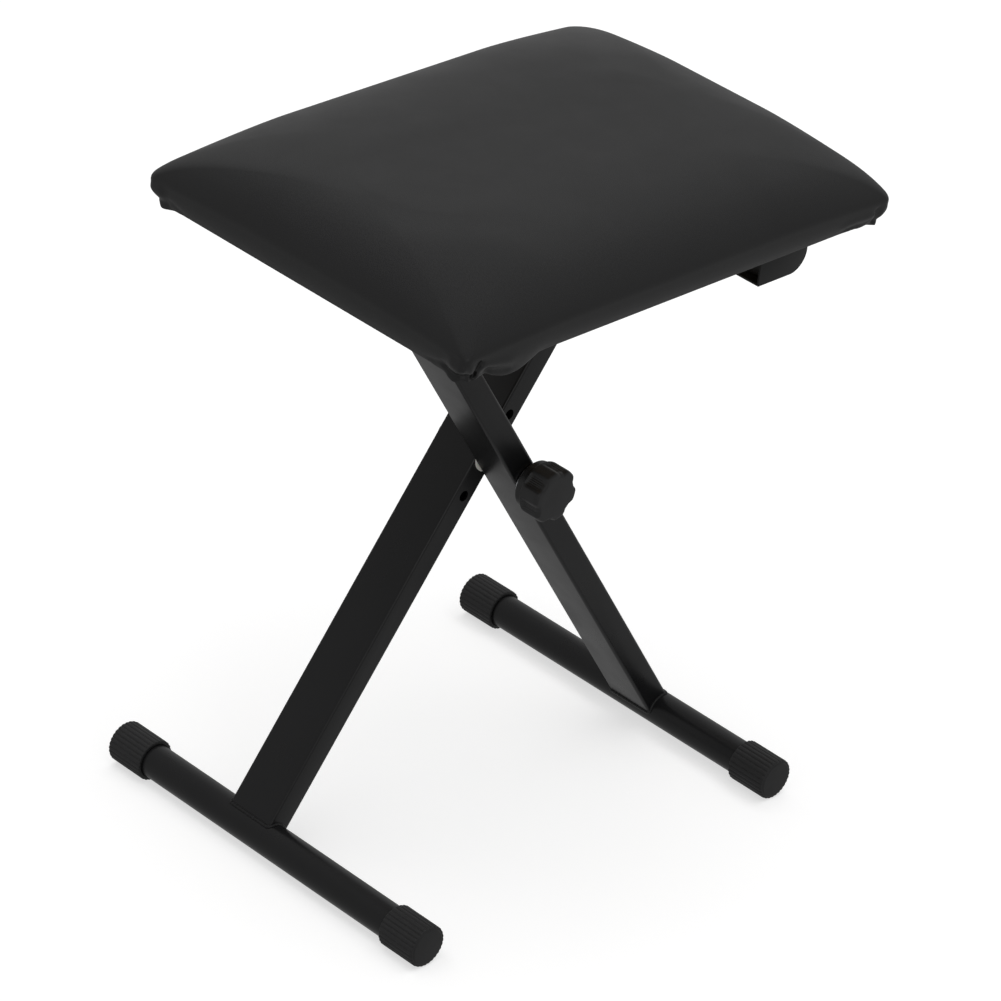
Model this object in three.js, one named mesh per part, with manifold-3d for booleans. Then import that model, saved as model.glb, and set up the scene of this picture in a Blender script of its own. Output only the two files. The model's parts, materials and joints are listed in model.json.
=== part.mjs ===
// Folding X-frame piano bench: two leg frames crossed on a clamp bolt, and a padded seat.
// Millimetres, +Z up. X runs along the seat's long side, Y along the foot bars.
// The origin is on the floor, under the middle of the bench.
import * as THREE from "three";
import { mergeVertices } from "three/addons/utils/BufferGeometryUtils.js";
import Module from "manifold-3d";

const wasm = await Module();
wasm.setup();

// ---------------------------------------------------------------- driving dimensions
const GAP = 0.3; // between pieces that touch
const PAST = 1; // how far a cutting shape runs past the face it opens

const PIVOT = { x: -5, z: 265.5 }; // clamp bolt's axis, along Y
const FOOT_X = 172.5; // foot bars, each way from the clamp bolt
const FOOT_BAR = { radius: 12.5, wall: 1.5, halfLength: 151 };
const CAP = { radius: 15.6, halfSpan: 155.5, length: 33, ribs: 24, ribDepth: 0.8 };
const FOOT_Z = CAP.radius; // the caps stand on the floor

const LEG = { wide: 40, thick: 20, wall: 1.5, corner: 2.2 }; // wide along Y
const LEG_GAP = 2; // between the two legs, filled by the friction washer

const SEAT = { length: 403, depth: 303, underside: 456, top: 507.5 };
const SEAT_CORNER = { radius: 6.5, growth: 1, drop: 11.5, reach: 110 }; // drawn down at its corners
// The pad's section: height above its lower edge, then in from its long and from its short sides.
const PAD_SECTION = [
  [0, 4, 3],
  [6, 2, 1.5],
  [14, 0.3, 0.3],
  [20, 0, 0],
  [27, 3.8, 2.5],
  [34, 10, 7],
  [39.5, 19, 12.5],
  [44, 31, 20],
  [48, 50, 33],
  [51.5, 97, 64],
];
const BOARD = { thickness: 12, inset: 7, underside: 457.5, corner: 6 };

const CROSSBAR = { radius: 9.5, wall: 1.5, z: 443.4 };
const CROSSBAR_HALF = { rear: 131, front: 125 }; // half their lengths
const CROSSBAR_CAP = { radius: 13, length: 15, floor: 3, chamfer: 2 };

// A pocket for each end of the rear leg's crossbar, and a slotted rail for the front leg's.
const POCKET = { inner: 92, outer: 138, sheet: 1.5, web: 136, depth: 21, bottom: 430, bend: 15 };
const RAIL = { inner: -112, outer: -162, sheet: 2, web: 112, depth: 20, bottom: 428, bend: 12 };
const SLOT_PLAY = 0.5; // above and below the crossbar in its slot
const SLOT_MARGIN = 5; // sheet left beyond the slot's closed end
const BUSH_SET_BACK = 8; // from the pocket's open end
const BUSH_RECESS = 1; // from the pocket's open back

const BOLT = { radius: 5, head: 7, headThickness: 3, frontEnd: -64 };
const BOLT_HOLE = BOLT.radius + GAP;
const SLEEVE = { radius: 7.5, endGap: 0.1 };
const SPARE_HOLE = { radius: 4, fromPivot: 32 };

// The knob's faces are given by how far in front of the clamp's middle they are. Its front is
// `face` thick over the insert.
const KNOB = { radius: 20, back: 44.6, skirtFront: 50.5, front: 67.5, face: 3 };
const KNOB_LOBES = { count: 6, depth: 2.4 };
const KNOB_SKIRT = KNOB.radius - 2;
const KNOB_INSERT = 8.5; // radius
const KNOB_WASHER = { radius: 14, thickness: 2 };
const FRICTION_WASHER = 11.4; // radius

const SCREW = {
  headRadius: 3.6,
  headDepth: 1.2,
  shankRadius: 1.7,
  length: 10,
  point: 3,
  fromWeb: 11,
  sunk: 0.1,
};
const POCKET_SCREWS = [101, 119];
const RAIL_SCREWS = [-151, -123];

// Worked out from the above.
const LEG_ANGLE = Math.atan2(FOOT_X, PIVOT.z - FOOT_Z);
const LOWER = Math.hypot(FOOT_X, PIVOT.z - FOOT_Z);
const UPPER = (CROSSBAR.z - PIVOT.z) / Math.cos(LEG_ANGLE);
const LEG_TOP = UPPER - 3; // the leg's coped walls end below the crossbar's axis
const CROSSBAR_X = PIVOT.x + UPPER * Math.sin(LEG_ANGLE); // the one in the pockets
const LEG_Y = (LEG_GAP + LEG.wide) / 2;
const LEG_OUTER = LEG_GAP / 2 + LEG.wide;

// ---------------------------------------------------------------- finishes
const finish = (color, roughness, metalness = 0) =>
  new THREE.MeshStandardMaterial({ color, roughness, metalness });
const POWDER_COAT = finish(0x26272a, 0.45);
const ZINC = finish(0xb9bcc0, 0.35, 0.9);
const RUBBER = finish(0x1d1d1e, 0.8);
const PLASTIC = finish(0x242426, 0.5);
const NYLON = finish(0xd8d6cf, 0.5);
const VINYL = finish(0x232324, 0.55);
const PLYWOOD = finish(0xb58f63, 0.8);

// ---------------------------------------------------------------- solids
function solidOf(geometry) {
  const plain = geometry.index ? geometry.toNonIndexed() : geometry.clone();
  plain.deleteAttribute("normal");
  plain.deleteAttribute("uv");
  const merged = mergeVertices(plain, 1e-4);
  return new wasm.Manifold(
    new wasm.Mesh({
      numProp: 3,
      vertProperties: merged.attributes.position.array,
      triVerts: new Uint32Array(merged.index.array),
    }),
  );
}

function geometryOf(solid) {
  const mesh = solid.getMesh();
  const positions = new Float32Array(mesh.numVert * 3);
  for (let i = 0; i < mesh.numVert; i += 1) {
    const start = i * mesh.numProp;
    positions.set(mesh.vertProperties.subarray(start, start + 3), i * 3);
  }
  return new THREE.BufferGeometry()
    .setAttribute("position", new THREE.BufferAttribute(positions, 3))
    .setIndex(new THREE.BufferAttribute(mesh.triVerts, 1));
}

function cut(geometry, ...cutters) {
  const left = cutters.reduce((solid, cutter) => solid.subtract(solidOf(cutter)), solidOf(geometry));
  return geometryOf(left);
}

function join(geometry, ...others) {
  const whole = others.reduce((solid, other) => solid.add(solidOf(other)), solidOf(geometry));
  return geometryOf(whole);
}

// A box given by its lowest and highest corners.
function box(low, high) {
  const [w, d, h] = high.map((value, i) => value - low[i]);
  return new THREE.BoxGeometry(w, d, h).translate(low[0] + w / 2, low[1] + d / 2, low[2] + h / 2);
}

// A round bar along Y from y0 to y1, with its axis through (x, z).
function barY(radius, y0, y1, x = 0, z = 0, sides = 32) {
  return new THREE.CylinderGeometry(radius, radius, Math.abs(y1 - y0), sides).translate(
    x,
    (y0 + y1) / 2,
    z,
  );
}

// An outline extruded along Y from y0 to y1; its own x and y become X and Z.
function extrudeY(shape, y0, y1, curveSegments = 16) {
  return new THREE.ExtrudeGeometry(shape, { depth: y1 - y0, bevelEnabled: false, curveSegments })
    .rotateX(Math.PI / 2)
    .translate(0, y1, 0);
}

function ringY(outer, inner, y0, y1, sides = 32) {
  const shape = new THREE.Shape().absarc(0, 0, outer, 0, 2 * Math.PI);
  shape.holes.push(new THREE.Path().absarc(0, 0, inner, 0, 2 * Math.PI, true));
  return extrudeY(shape, y0, y1, sides);
}

function roundedRect(width, height, corner, PathClass = THREE.Shape) {
  const x = width / 2 - corner;
  const y = height / 2 - corner;
  const path = new PathClass();
  path.absarc(x, y, corner, 0, Math.PI / 2);
  path.absarc(-x, y, corner, Math.PI / 2, Math.PI);
  path.absarc(-x, -y, corner, Math.PI, 1.5 * Math.PI);
  path.absarc(x, -y, corner, 1.5 * Math.PI, 2 * Math.PI);
  path.closePath();
  return path;
}

// A closed outline about the origin, whose radius depends on the angle.
function polarOutline(steps, radiusAt) {
  const points = Array.from({ length: steps }, (_, i) => {
    const angle = (2 * Math.PI * i) / steps;
    return new THREE.Vector2(Math.cos(angle), Math.sin(angle)).multiplyScalar(radiusAt(angle));
  });
  return new THREE.Shape(points);
}

// A turned piece about the Y axis. Its profile is [radius, y] and starts and ends on the axis.
function turned(profile, sides) {
  return new THREE.LatheGeometry(
    profile.map(([r, y]) => new THREE.Vector2(r, y)),
    sides,
  );
}

function named(name, geometry, material) {
  const mesh = new THREE.Mesh(geometry, material);
  mesh.name = name;
  return mesh;
}

function groupAt(x, y, z, ...children) {
  const group = new THREE.Group();
  group.position.set(x, y, z);
  group.add(...children);
  return group;
}

// ---------------------------------------------------------------- leg frames
// In a leg's own frame the clamp bolt is the Y axis, and the leg runs along Z.
function legTube(y, spareHoles) {
  const outline = roundedRect(LEG.thick, LEG.wide, LEG.corner);
  const hollow = [LEG.thick - 2 * LEG.wall, LEG.wide - 2 * LEG.wall, LEG.corner - LEG.wall];
  outline.holes.push(roundedRect(...hollow, THREE.Path));
  const tube = new THREE.ExtrudeGeometry(outline, {
    depth: LOWER + LEG_TOP,
    bevelEnabled: false,
    curveSegments: 3,
  }).translate(0, y, -LOWER);
  const through = (radius, z) => barY(radius, y - LEG.wide, y + LEG.wide, 0, z);
  const spares = spareHoles ? [-SPARE_HOLE.fromPivot, SPARE_HOLE.fromPivot] : [];
  return cut(
    tube,
    through(FOOT_BAR.radius + GAP, -LOWER),
    through(CROSSBAR.radius + GAP, UPPER),
    through(SLEEVE.radius + GAP, 0),
    ...spares.map((z) => through(SPARE_HOLE.radius, z)),
  );
}

// Ribbed along its side, with half-round ribs and sharp grooves between them.
function footCap(side) {
  const { radius, ribs, ribDepth, length, halfSpan } = CAP;
  const outline = polarOutline(ribs * 4, (angle) => {
    const rib = Math.sqrt(Math.abs(Math.cos((ribs * angle) / 2)));
    return radius - ribDepth * (1 - rib);
  });
  const mouth = halfSpan - length;
  const socket = barY(FOOT_BAR.radius + GAP, mouth - PAST, FOOT_BAR.halfLength + GAP);
  const cap = cut(extrudeY(outline, mouth, halfSpan), socket);
  return side > 0 ? cap : cap.rotateZ(Math.PI);
}

function footBar(name, caps) {
  const { radius, wall, halfLength } = FOOT_BAR;
  return groupAt(
    0,
    0,
    -LOWER,
    named(name, ringY(radius, radius - wall, -halfLength, halfLength), POWDER_COAT),
    named(caps[0], footCap(-1), RUBBER),
    named(caps[1], footCap(1), RUBBER),
  );
}

function crossbar(name, half) {
  const { radius, wall } = CROSSBAR;
  const tube = ringY(radius, radius - wall, -half, half);
  return groupAt(0, 0, UPPER, named(name, tube, POWDER_COAT));
}

function sleeve(name, y) {
  const half = LEG.wide / 2 - SLEEVE.endGap;
  return named(name, ringY(SLEEVE.radius, BOLT_HOLE, y - half, y + half, 24), ZINC);
}

// Pushed over each end of the sliding crossbar, outside its rail, so that it can't slip out.
function crossbarCap(name, side) {
  const { radius, length, floor, chamfer } = CROSSBAR_CAP;
  const socket = CROSSBAR.radius + GAP;
  const profile = [
    [0, 0],
    [radius - chamfer, 0],
    [radius, chamfer],
    [radius, length],
    [socket, length],
    [socket, floor - GAP],
    [0, floor - GAP],
  ];
  const front = turned(profile, 32).translate(0, -CROSSBAR_HALF.front - floor, 0);
  const cap = side < 0 ? front : front.rotateZ(Math.PI);
  return named(name, cap.translate(0, 0, UPPER), RUBBER);
}

function rearLegFrame() {
  const frame = groupAt(
    PIVOT.x,
    0,
    PIVOT.z,
    named("rear_leg", legTube(LEG_Y, true), POWDER_COAT),
    sleeve("rear_leg_sleeve", LEG_Y),
    footBar("left_foot_bar", ["left_front_foot_cap", "left_rear_foot_cap"]),
    crossbar("rear_leg_crossbar", CROSSBAR_HALF.rear),
  );
  frame.rotation.y = LEG_ANGLE;
  return frame;
}

function frontLegFrame() {
  const frame = groupAt(
    PIVOT.x,
    0,
    PIVOT.z,
    named("front_leg", legTube(-LEG_Y, false), POWDER_COAT),
    sleeve("front_leg_sleeve", -LEG_Y),
    footBar("right_foot_bar", ["right_front_foot_cap", "right_rear_foot_cap"]),
    crossbar("front_leg_crossbar", CROSSBAR_HALF.front),
    crossbarCap("crossbar_front_cap", -1),
    crossbarCap("crossbar_rear_cap", 1),
  );
  frame.rotation.y = -LEG_ANGLE;
  return frame;
}

// ---------------------------------------------------------------- clamp at the crossing
// The bolt has a low domed head, close against the rear leg.
function pivotBolt() {
  const { radius, head, headThickness, frontEnd } = BOLT;
  const under = LEG_OUTER + GAP;
  const dome = [0, 1, 2, 3].map((step) => {
    const angle = (Math.PI / 6) * step;
    return [head * Math.cos(angle), under + headThickness * Math.sin(angle)];
  });
  return turned([[0, frontEnd], [radius, frontEnd], [radius, under], ...dome], 24);
}

// A lobed grip, a round skirt behind it, and a bore for the insert that is blind at the front.
function knobBody() {
  const { count, depth } = KNOB_LOBES;
  const outline = polarOutline(
    count * 14,
    (angle) => KNOB.radius - (depth / 2) * (1 - Math.cos(count * angle)),
  );
  const grip = extrudeY(outline, -KNOB.front, -KNOB.skirtFront + PAST);
  const skirt = barY(KNOB_SKIRT, -KNOB.skirtFront, -KNOB.back, 0, 0, 48);
  const bore = barY(KNOB_INSERT + GAP, -KNOB.front + KNOB.face - GAP, 0, 0, 0, 24);
  return cut(join(grip, skirt), bore);
}

function clamp() {
  const half = LEG_GAP / 2 - GAP;
  const friction = ringY(FRICTION_WASHER, BOLT_HOLE, -half, half);
  const washerBack = -LEG_OUTER - GAP;
  const washerFront = washerBack - KNOB_WASHER.thickness;
  const washer = ringY(KNOB_WASHER.radius, BOLT_HOLE, washerFront, washerBack);
  const insert = ringY(KNOB_INSERT, BOLT_HOLE, -KNOB.front + KNOB.face, -KNOB.back, 24);
  return groupAt(
    PIVOT.x,
    0,
    PIVOT.z,
    named("pivot_bolt", pivotBolt(), ZINC),
    named("friction_washer", friction, NYLON),
    named("knob_washer", washer, ZINC),
    named("knob_insert", insert, ZINC),
    named("knob", knobBody(), PLASTIC),
  );
}

// ---------------------------------------------------------------- seat
// Both brackets are drawn as the front one, with their web at -Y and their flange on the board.
// A plate from the board down to `bottom`, with a round corner at its outer end. It is smaller by
// `inset` all round, and `open` lets it run past the bracket's inner end.
function sidePlate({ inner, outer, bottom, bend }, inset, open) {
  const sign = Math.sign(outer - inner);
  const [low, high] = [bottom + inset, BOARD.underside - GAP - inset];
  const end = outer - sign * inset;
  const start = inner - sign * open;
  const centre = end - sign * (bend - inset);
  const shape = new THREE.Shape().moveTo(start, high);
  shape.lineTo(start, low);
  const last = sign > 0 ? 0 : -Math.PI;
  shape.absarc(centre, low + bend - inset, bend - inset, -Math.PI / 2, last, sign < 0);
  shape.lineTo(end, high);
  shape.closePath();
  return shape;
}

// Folded sheet with a web, a flange, a lip and a closed end; its inner end and back are open.
function pocket() {
  const { sheet, web, depth } = POCKET;
  const whole = extrudeY(sidePlate(POCKET, 0, 0), -web, -web + depth);
  const inside = extrudeY(sidePlate(POCKET, sheet, PAST), -web + sheet, -web + depth + PAST);
  return cut(whole, inside);
}

// An angle whose web has a slot for the crossbar, open at its inner end.
function rail() {
  const { inner, outer, sheet, web, depth } = RAIL;
  const plate = extrudeY(sidePlate(RAIL, 0, 0), -web, -web + sheet);
  const high = BOARD.underside - GAP;
  const flange = box([outer, -web, high - sheet], [inner, -web + depth, high]);
  const half = CROSSBAR.radius + SLOT_PLAY;
  const closedEnd = outer + SLOT_MARGIN + half;
  const [front, back] = [-web - PAST, -web + sheet + PAST];
  const slot = join(
    box([closedEnd, front, CROSSBAR.z - half], [inner + PAST, back, CROSSBAR.z + half]),
    barY(half, front, back, closedEnd, CROSSBAR.z),
  );
  return cut(join(plate, flange), slot);
}

// The rear brackets are the front ones mirrored across the seat's middle.
function mirrored(geometry) {
  const copy = geometry.index ? geometry.toNonIndexed() : geometry.clone();
  copy.scale(1, -1, 1);
  const p = copy.attributes.position;
  for (let i = 0; i < p.count; i += 3) {
    const [b, c] = [new THREE.Vector3(), new THREE.Vector3()];
    b.fromBufferAttribute(p, i + 1);
    c.fromBufferAttribute(p, i + 2);
    p.setXYZ(i + 1, c.x, c.y, c.z);
    p.setXYZ(i + 2, b.x, b.y, b.z);
  }
  return copy;
}

function woodScrew() {
  const { headRadius, headDepth, shankRadius, length, point } = SCREW;
  const profile = [
    [0, 0],
    [headRadius, 0],
    [shankRadius, headDepth],
    [shankRadius, length - point],
    [0, length],
  ];
  return turned(profile, 16).rotateX(Math.PI / 2);
}

// A front and a rear bracket, and the countersunk screws that hold them to the board.
function bracketPair(side, geometry, { web, sheet }, places) {
  const y = web - SCREW.fromWeb;
  const z = BOARD.underside - GAP - sheet;
  const [narrow, wide] = [SCREW.shankRadius + GAP, SCREW.headRadius + 2 * GAP];
  const sinks = places.map((x) =>
    new THREE.CylinderGeometry(narrow, wide, sheet + PAST, 24)
      .rotateX(Math.PI / 2)
      .translate(x, -y, z + sheet / 2),
  );
  const front = cut(geometry, ...sinks);
  const pieces = [
    named(`${side}_front_bracket`, front, POWDER_COAT),
    named(`${side}_rear_bracket`, mirrored(front), POWDER_COAT),
  ];
  for (const [end, screwY] of Object.entries({ front: -y, rear: y })) {
    places.forEach((x, i) => {
      const screw = named(`${side}_${end}_bracket_screw_${i + 1}`, woodScrew(), ZINC);
      screw.position.set(x, screwY, z + SCREW.sunk);
      pieces.push(screw);
    });
  }
  return pieces;
}

// Plastic block that holds one end of the rear leg's crossbar in its pocket.
function crossbarBush() {
  const { sheet, web, depth, inner } = POCKET;
  const shape = sidePlate({ ...POCKET, inner: inner + BUSH_SET_BACK }, sheet + GAP, 0);
  const block = extrudeY(shape, -web + sheet + GAP, -web + depth - BUSH_RECESS);
  return cut(block, barY(CROSSBAR.radius + GAP, -web, 0, CROSSBAR_X, CROSSBAR.z));
}

function seatBoard() {
  const { thickness, inset, underside, corner } = BOARD;
  const outline = roundedRect(SEAT.length - 2 * inset, SEAT.depth - 2 * inset, corner);
  const board = new THREE.ExtrudeGeometry(outline, {
    depth: thickness,
    bevelEnabled: false,
    curveSegments: 6,
  }).translate(0, 0, underside);
  const holes = [
    ...POCKET_SCREWS.map((x) => [x, POCKET.web - SCREW.fromWeb]),
    ...RAIL_SCREWS.map((x) => [x, RAIL.web - SCREW.fromWeb]),
  ];
  const pilot = SCREW.shankRadius + GAP;
  const pilots = holes.flatMap(([x, y]) =>
    [-y, y].map((side) =>
      new THREE.CylinderGeometry(pilot, pilot, 2 * SCREW.length + 2, 12)
        .rotateX(Math.PI / 2)
        .translate(x, side, underside),
    ),
  );
  return cut(board, ...pilots);
}

// One ring of the pad's outside, as flat x, y, z values.
function padRing([height, insetY, insetX], perCorner) {
  const { radius, growth, drop, reach } = SEAT_CORNER;
  const [halfX, halfY] = [SEAT.length / 2, SEAT.depth / 2];
  const most = halfY - insetY - 1;
  const corner = Math.min(radius + (growth * (insetX + insetY)) / 2, most);
  const [atX, atY] = [halfX - insetX - corner, halfY - insetY - corner];
  const rise = height / (SEAT.top - SEAT.underside);
  const ring = [];
  for (let quarter = 0; quarter < 4; quarter += 1) {
    const [signX, signY] = [quarter % 3 === 0 ? 1 : -1, quarter < 2 ? 1 : -1];
    for (let i = 0; i <= perCorner; i += 1) {
      const angle = (Math.PI / 2) * (quarter + i / perCorner);
      const x = signX * atX + corner * Math.cos(angle);
      const y = signY * atY + corner * Math.sin(angle);
      const away = Math.hypot(halfX - Math.abs(x), halfY - Math.abs(y));
      const share = Math.max(0, 1 - away / reach) ** 1.5;
      ring.push(x, y, SEAT.underside + height - drop * share * rise);
    }
  }
  return ring;
}

// The foam and its vinyl cover as one plain solid, with a pocket for the board. It bulges over the
// board, and its corners are pulled down.
function seatPad() {
  const perCorner = 8;
  const ringSize = 4 * (perCorner + 1);
  const index = [];
  for (let k = 0; k + 1 < PAD_SECTION.length; k += 1) {
    for (let i = 0; i < ringSize; i += 1) {
      const [a, b] = [k * ringSize + i, k * ringSize + ((i + 1) % ringSize)];
      index.push(a, b, b + ringSize, a, b + ringSize, a + ringSize);
    }
  }
  const last = (PAD_SECTION.length - 1) * ringSize;
  for (let i = 1; i + 1 < ringSize; i += 1) {
    index.push(0, i + 1, i);
    index.push(last, last + i, last + i + 1);
  }
  const positions = PAD_SECTION.flatMap((row) => padRing(row, perCorner));
  const outside = new THREE.BufferGeometry()
    .setAttribute("position", new THREE.Float32BufferAttribute(positions, 3))
    .setIndex(index);
  return cut(outside, boardPocket());
}

function boardPocket() {
  const { thickness, inset, underside, corner } = BOARD;
  const [length, depth] = [SEAT.length - 2 * inset, SEAT.depth - 2 * inset];
  const bottom = SEAT.underside - PAST;
  return new THREE.ExtrudeGeometry(roundedRect(length + 2 * GAP, depth + 2 * GAP, corner + GAP), {
    depth: underside + thickness + GAP - bottom,
    bevelEnabled: false,
    curveSegments: 6,
  }).translate(0, 0, bottom);
}

function seat() {
  const bush = crossbarBush();
  return groupAt(
    0,
    0,
    0,
    named("seat_pad", seatPad(), VINYL),
    named("seat_board", seatBoard(), PLYWOOD),
    ...bracketPair("right", pocket(), POCKET, POCKET_SCREWS),
    ...bracketPair("left", rail(), RAIL, RAIL_SCREWS),
    named("front_crossbar_bush", bush, PLASTIC),
    named("rear_crossbar_bush", mirrored(bush), PLASTIC),
  );
}

const bench = new THREE.Group();
bench.add(rearLegFrame(), frontLegFrame(), clamp(), seat());

export default bench;
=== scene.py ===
"""Looks of a folding X-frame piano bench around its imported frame.

Padded vinyl seat, powder-coated legs, ribbed rubber feet and a moulded clamp knob.
"""
import json
import math

import bmesh
import bpy
from mathutils import Matrix, Vector, noise


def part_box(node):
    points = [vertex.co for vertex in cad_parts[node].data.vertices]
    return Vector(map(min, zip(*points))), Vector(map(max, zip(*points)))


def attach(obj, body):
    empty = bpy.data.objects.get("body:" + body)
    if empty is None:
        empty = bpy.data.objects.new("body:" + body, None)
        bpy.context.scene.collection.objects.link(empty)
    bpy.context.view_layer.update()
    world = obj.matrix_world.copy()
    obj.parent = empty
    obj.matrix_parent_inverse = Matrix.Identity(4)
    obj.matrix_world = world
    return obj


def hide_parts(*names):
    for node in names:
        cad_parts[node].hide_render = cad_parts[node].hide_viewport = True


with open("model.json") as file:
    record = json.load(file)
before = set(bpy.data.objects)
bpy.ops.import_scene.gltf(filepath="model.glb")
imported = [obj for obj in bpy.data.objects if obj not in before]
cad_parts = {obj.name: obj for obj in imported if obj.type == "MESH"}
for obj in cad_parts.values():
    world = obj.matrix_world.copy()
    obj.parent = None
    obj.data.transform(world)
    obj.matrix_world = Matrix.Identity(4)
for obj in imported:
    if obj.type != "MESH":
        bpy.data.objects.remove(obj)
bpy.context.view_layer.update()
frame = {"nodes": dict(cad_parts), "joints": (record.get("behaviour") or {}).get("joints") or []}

MM = 0.001
TAU = 2 * math.pi


def middle(node):
    """The middle of a CAD node's box."""
    low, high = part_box(node)
    return (low + high) / 2


JOINTS = {joint["name"]: joint for joint in frame["joints"]}
PIVOT = Vector(JOINTS["scissor_fold"]["pos_m"])
REAR_BODY, FRONT_BODY, SEAT_BODY = "rear_leg_frame", "front_leg_frame", "seat"


# ---------------------------------------------------------------- camera
CAMERA_AZIMUTH = math.radians(-47.94)
CAMERA_ELEVATION = math.radians(30.27)
CAMERA_ROLL = math.radians(6.81)
CAMERA_DISTANCE = 3.677
CAMERA_TARGET = Vector((0.0054, -0.0073, 0.2301))
CAMERA_LENS = 191.97
SENSOR = 36.0


def add_camera():
    """A long lens from the front left, a little rolled."""
    sin_a, cos_a = math.sin(CAMERA_AZIMUTH), math.cos(CAMERA_AZIMUTH)
    sin_e, cos_e = math.sin(CAMERA_ELEVATION), math.cos(CAMERA_ELEVATION)
    back = Vector((sin_a * cos_e, -cos_a * cos_e, sin_e))
    level_right = Vector((cos_a, sin_a, 0))
    level_up = back.cross(level_right)
    sin_r, cos_r = math.sin(CAMERA_ROLL), math.cos(CAMERA_ROLL)
    right = cos_r * level_right + sin_r * level_up
    up = cos_r * level_up - sin_r * level_right
    data = bpy.data.cameras.new("camera")
    data.lens = CAMERA_LENS
    data.sensor_width = SENSOR
    data.clip_end = 50
    camera = bpy.data.objects.new("camera", data)
    turn = Matrix((right, up, back)).transposed().to_4x4()
    camera.matrix_world = Matrix.Translation(CAMERA_TARGET + CAMERA_DISTANCE * back) @ turn
    bpy.context.scene.collection.objects.link(camera)
    bpy.context.scene.camera = camera


# ---------------------------------------------------------------- materials
class Nodes:
    """A short way to write a material's node tree."""

    def __init__(self, name):
        self.material = bpy.data.materials.new(name)
        self.material.use_nodes = True
        self.tree = self.material.node_tree
        self.shader = self.tree.nodes["Principled BSDF"]
        self.coords = self.add("ShaderNodeTexCoord").outputs["Object"]

    def add(self, kind, **settings):
        node = self.tree.nodes.new(kind)
        for key, value in settings.items():
            if hasattr(node, key) and key not in node.inputs:
                setattr(node, key, value)
            else:
                node.inputs[key].default_value = value
        return node

    def link(self, source, target):
        self.tree.links.new(source, target)
        return target

    def set(self, **values):
        for key, value in values.items():
            self.shader.inputs[key.replace("_", " ")].default_value = value

    def noise(self, scale, detail=3.0, roughness=0.5, vector=None):
        node = self.add("ShaderNodeTexNoise", Scale=scale, Detail=detail, Roughness=roughness)
        self.link(vector or self.coords, node.inputs["Vector"])
        return node.outputs["Fac"]

    def ramp(self, source, low, high, value_low, value_high):
        node = self.add("ShaderNodeMapRange")
        node.inputs["From Min"].default_value = low
        node.inputs["From Max"].default_value = high
        node.inputs["To Min"].default_value = value_low
        node.inputs["To Max"].default_value = value_high
        self.link(source, node.inputs["Value"])
        return node.outputs["Result"]

    def mix_colours(self, factor, dark, light):
        node = self.add("ShaderNodeMix", data_type="RGBA")
        node.inputs[6].default_value = (*dark, 1)
        node.inputs[7].default_value = (*light, 1)
        self.link(factor, node.inputs[0])
        return node.outputs[2]

    def bump(self, height, strength, distance, onto=None):
        node = self.add("ShaderNodeBump", Strength=strength, Distance=distance)
        self.link(height, node.inputs["Height"])
        if onto is not None:
            self.link(onto, node.inputs["Normal"])
        return node.outputs["Normal"]

    def finish(self, colour=None, roughness=None, normal=None):
        for source, name in ((colour, "Base Color"), (roughness, "Roughness"), (normal, "Normal")):
            if source is not None:
                self.link(source, self.shader.inputs[name])
        return self.material


def vinyl_material():
    """Black synthetic leather: a fine pebbled grain on slow, low waves, with a satin gloss."""
    n = Nodes("black_vinyl")
    n.set(IOR=1.45)
    cells = n.add("ShaderNodeTexVoronoi", feature="DISTANCE_TO_EDGE", Scale=900.0)
    warp = n.add("ShaderNodeVectorMath", operation="MULTIPLY_ADD")
    wobble = n.add("ShaderNodeTexNoise", Scale=400.0, Detail=2.0)
    n.link(n.coords, wobble.inputs["Vector"])
    n.link(wobble.outputs["Color"], warp.inputs[0])
    warp.inputs[1].default_value = (0.0008, 0.0008, 0.0008)
    n.link(n.coords, warp.inputs[2])
    n.link(warp.outputs[0], cells.inputs["Vector"])
    pebble = n.ramp(cells.outputs["Distance"], 0.0, 0.25, 0.0, 1.0)
    grain = n.bump(pebble, 0.25, 0.00012)
    broad = n.bump(n.noise(60, 3), 0.03, 0.0008, onto=grain)
    tone = n.mix_colours(n.noise(18, 4), (0.0075, 0.0075, 0.0078), (0.0105, 0.0105, 0.0108))
    rough = n.ramp(n.noise(35, 4), 0.3, 0.7, 0.4, 0.44)
    return n.finish(tone, rough, broad)


def powder_coat_material():
    """Satin black powder coat: orange peel, faint mottling, and gloss that varies a little."""
    n = Nodes("black_powder_coat")
    n.set(IOR=1.4)
    peel = n.bump(n.noise(900, 2), 0.12, 0.0001)
    broad = n.bump(n.noise(120, 2), 0.05, 0.0006, onto=peel)
    tone = n.mix_colours(n.noise(30, 4), (0.0075, 0.0075, 0.008), (0.0105, 0.0105, 0.011))
    rough = n.ramp(n.noise(25, 4), 0.3, 0.7, 0.26, 0.36)
    return n.finish(tone, rough, broad)


def rubber_material():
    """Moulded black rubber: matt, with a fine spark-eroded texture and a dusty bloom."""
    n = Nodes("black_rubber")
    n.set(IOR=1.45)
    fine = n.bump(n.noise(1500, 3), 0.25, 0.00012)
    bloom = n.noise(45, 5, 0.6)
    tone = n.mix_colours(bloom, (0.013, 0.013, 0.0135), (0.02, 0.02, 0.0205))
    rough = n.ramp(bloom, 0.3, 0.7, 0.48, 0.62)
    return n.finish(tone, rough, fine)


def plastic_material():
    """Satin black moulded nylon, for the knob and the bushes."""
    n = Nodes("black_plastic")
    n.set(IOR=1.48)
    fine = n.bump(n.noise(1200, 2), 0.2, 0.0001)
    tone = n.mix_colours(n.noise(40, 3), (0.013, 0.013, 0.0135), (0.017, 0.017, 0.0175))
    rough = n.ramp(n.noise(60, 4), 0.3, 0.7, 0.4, 0.5)
    return n.finish(tone, rough, fine)


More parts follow.
